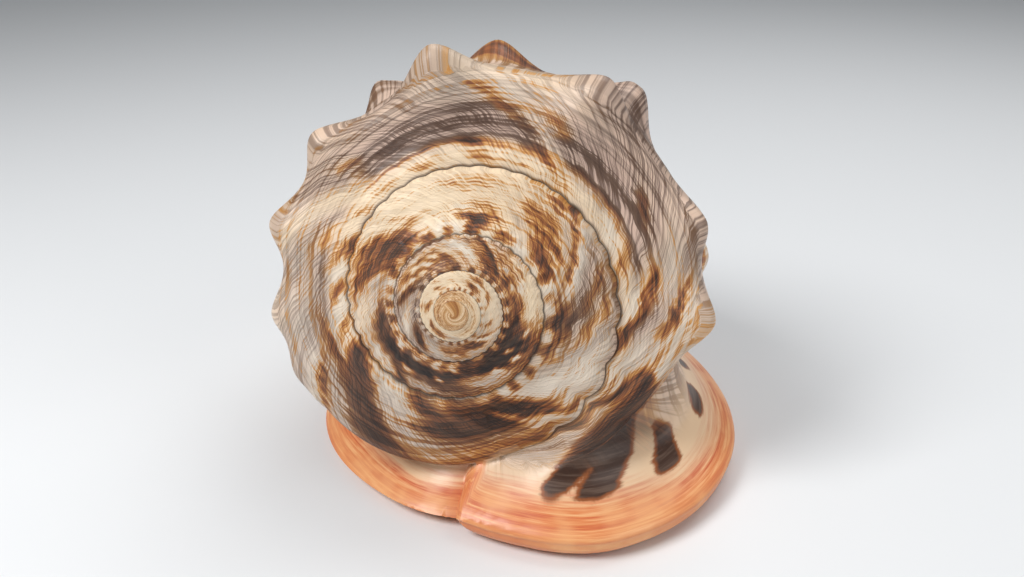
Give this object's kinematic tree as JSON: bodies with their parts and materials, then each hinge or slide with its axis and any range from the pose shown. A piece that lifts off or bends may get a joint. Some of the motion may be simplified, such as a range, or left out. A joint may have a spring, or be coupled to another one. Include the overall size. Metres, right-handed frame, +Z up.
{
  "type": "bullmouth helmet shell",
  "caption": "Large helmet shell of a sea snail, with a knobbed shoulder, a low spire and a rolled orange lip and shield, resting on its aperture.",
  "frame": {"origin": "middle of the foot, on the surface that the shell rests on", "axes": "+Z up, away from the aperture; -Y towards the apex; +X towards the outer lip"},
  "size_m": [0.134, 0.1683, 0.1276],
  "materials": {
    "shell": "satin"
  },
  "bodies": {
    "root": {"helmet_shell": "shell"}
  },
  "joints": []
}
